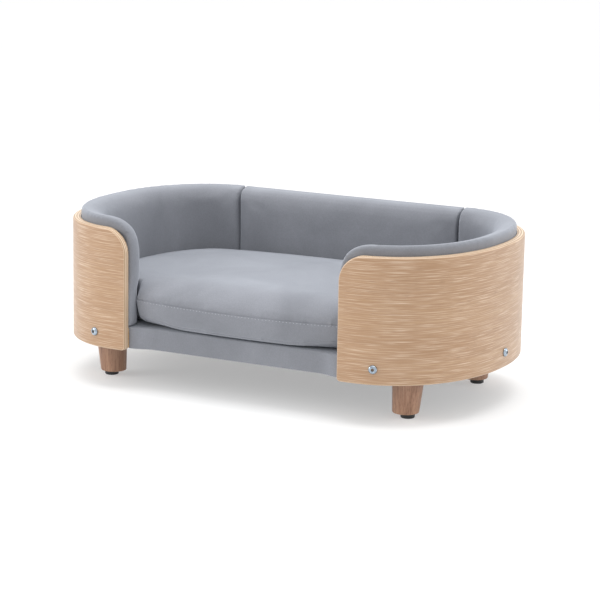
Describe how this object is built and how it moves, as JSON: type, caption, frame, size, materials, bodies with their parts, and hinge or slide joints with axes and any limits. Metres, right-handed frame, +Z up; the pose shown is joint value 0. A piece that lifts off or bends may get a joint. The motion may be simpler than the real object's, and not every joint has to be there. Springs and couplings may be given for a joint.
{
  "type": "dog bed with frame",
  "caption": "Raised dog bed: bent plywood ends and a flat back on turned legs, padded lining round an upholstered base, and a loose crowned cushion with an open front.",
  "frame": {"origin": "on the floor, under the middle of the bed", "axes": "+X along the length to the right-hand end, +Y to the back panel, +Z up; the open front faces -Y"},
  "size_m": [0.7634, 0.45, 0.283],
  "materials": {
    "oak_veneered_plywood": "satin lacquer",
    "birch_plywood": "raw sanded",
    "pine": "planed",
    "stained_beech": "brown stain under satin lacquer",
    "grey_velvet": "short pile",
    "black_dust_cloth": "spunbonded non-woven",
    "black_nylon": "moulded",
    "zinc_plated_steel": "bright zinc",
    "blackened_steel": "black phosphate",
    "brass": "turned"
  },
  "bodies": {
    "bed_frame": {"back_lining": "grey_velvet", "back_lining_board": "birch_plywood", "back_panel": "oak_veneered_plywood", "back_rail": "pine", "base_cover": "grey_velvet", "corner_block_back_left": "pine", "corner_block_back_right": "pine", "corner_block_front_left": "pine", "corner_block_front_right": "pine", "deck": "birch_plywood", "dust_cover": "black_dust_cloth", "front_rail": "pine", "glide_back_left": "black_nylon", "glide_back_right": "black_nylon", "glide_front_left": "black_nylon", "glide_front_right": "black_nylon", "hanger_bolt_back_left": "zinc_plated_steel", "hanger_bolt_back_right": "zinc_plated_steel", "hanger_bolt_front_left": "zinc_plated_steel", "hanger_bolt_front_right": "zinc_plated_steel", "left_back_screw": "blackened_steel", "left_end_panel": "oak_veneered_plywood", "left_insert_back": "brass", "left_insert_front": "brass", "left_insert_middle": "brass", "left_joint_plate": "zinc_plated_steel", "left_joint_screw_back": "blackened_steel", "left_joint_screw_end": "blackened_steel", "left_lining": "grey_velvet", "left_lining_board": "birch_plywood", "left_rib": "pine", "left_shell_bolt_back": "zinc_plated_steel", "left_shell_bolt_front": "zinc_plated_steel", "left_shell_bolt_middle": "zinc_plated_steel", "left_slat": "pine", "leg_back_left": "stained_beech", "leg_back_right": "stained_beech", "leg_front_left": "stained_beech", "leg_front_right": "stained_beech", "right_back_screw": "blackened_steel", "right_end_panel": "oak_veneered_plywood", "right_insert_back": "brass", "right_insert_front": "brass", "right_insert_middle": "brass", "right_joint_plate": "zinc_plated_steel", "right_joint_screw_back": "blackened_steel", "right_joint_screw_end": "blackened_steel", "right_lining": "grey_velvet", "right_lining_board": "birch_plywood", "right_rib": "pine", "right_shell_bolt_back": "zinc_plated_steel", "right_shell_bolt_front": "zinc_plated_steel", "right_shell_bolt_middle": "zinc_plated_steel", "right_slat": "pine", "tee_nut_back_left": "zinc_plated_steel", "tee_nut_back_right": "zinc_plated_steel", "tee_nut_front_left": "zinc_plated_steel", "tee_nut_front_right": "zinc_plated_steel"},
    "cushion": {"seat_cushion": "grey_velvet"}
  },
  "joints": [
    {"name": "cushion_lift", "type": "slide", "parent": "bed_frame", "child": "cushion", "axis": [0, 0, 1], "range_m": [0, 0.22]}
  ]
}
